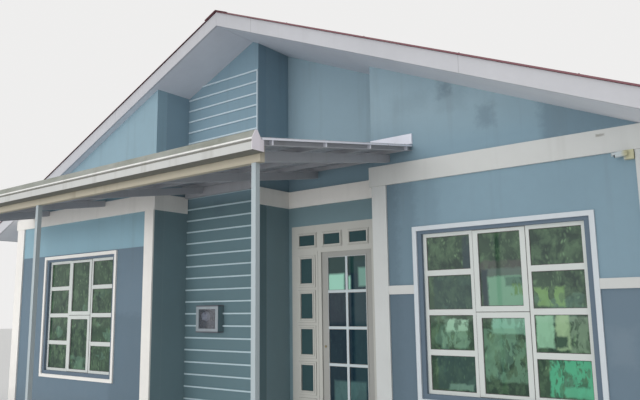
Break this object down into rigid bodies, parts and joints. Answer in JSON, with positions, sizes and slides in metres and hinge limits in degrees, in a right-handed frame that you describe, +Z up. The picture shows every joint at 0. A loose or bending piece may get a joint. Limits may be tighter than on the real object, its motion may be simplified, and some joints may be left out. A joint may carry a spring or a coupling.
{
  "type": "bungalow",
  "caption": "Single-storey bungalow with a low gable roof, a recessed front door beside a battened panel, and a lean-to canopy over the entrance.",
  "frame": {"origin": "on the ground under the ridge, halfway along the main block, on the underside of the floor slab", "axes": "+X to the right along the front, +Y towards the back, +Z up; the front door faces -Y"},
  "size_m": [10.035, 10.926, 5.0263],
  "materials": {
    "wall_paint": "blue-grey emulsion over cement plaster",
    "white_trim": "white paint over cement mouldings",
    "concrete": "steel-trowelled concrete",
    "window_frame": "white powder-coated aluminium",
    "glass": "green tinted glass",
    "door_paint": "white enamel",
    "lining": "white painted board",
    "fascia": "white painted board",
    "purlin": "sawn timber",
    "roof_sheet": "maroon pre-painted ribbed steel",
    "canopy_steel": "grey painted steel",
    "canopy_beam": "cream painted steel",
    "canopy_post": "pale blue-white painted steel",
    "canopy_sheet": "galvanised ribbed steel",
    "gutter": "white painted sheet steel",
    "cabinet": "grey painted steel",
    "camera": "white plastic, slightly yellowed",
    "brass": "satin",
    "steel": "satin"
  },
  "bodies": {
    "house": {"floor_slab": "concrete", "door_step": "concrete", "right_front_wall": "wall_paint", "right_return_wall": "wall_paint", "right_side_wall": "wall_paint", "left_front_wall": "wall_paint", "left_return_wall": "wall_paint", "left_side_wall": "wall_paint", "back_wall": "wall_paint", "tower_front_wall": "wall_paint", "tower_side_wall": "wall_paint", "door_wall_piers": "wall_paint", "door_wall_header": "wall_paint", "upper_band": "white_trim", "middle_band": "white_trim", "pilasters": "white_trim", "tower_battens": "white_trim", "window_trims": "white_trim", "front_window_frames": "window_frame", "side_window_frames": "window_frame", "back_window_frames": "window_frame", "front_window_glass": "glass", "side_window_glass": "glass", "back_window_glass": "glass", "door_frame": "door_paint", "door_frame_glass": "glass", "frame_hinges": "steel", "roof_lining": "lining", "roof_purlins": "purlin", "roof_sheets": "roof_sheet", "ridge_cap": "roof_sheet", "barge_boards": "fascia", "eave_fascias": "fascia", "canopy_posts": "canopy_post", "canopy_beam": "canopy_beam", "canopy_gutter": "gutter", "canopy_rafters": "canopy_steel", "canopy_purlins": "canopy_steel", "canopy_sheet": "canopy_sheet", "canopy_flashing": "gutter", "wall_cabinet": "cabinet", "wall_camera": "camera"},
    "front_door": {"door_leaf": "door_paint", "door_leaf_glass": "glass", "door_handles": "brass", "leaf_hinges": "steel"}
  },
  "joints": [
    {"name": "front_door_hinge", "type": "hinge", "parent": "house", "child": "front_door", "pos_m": [1.305, -3.369, 0.4], "axis": [0, 0, -1], "range_deg": [0, 90]}
  ]
}
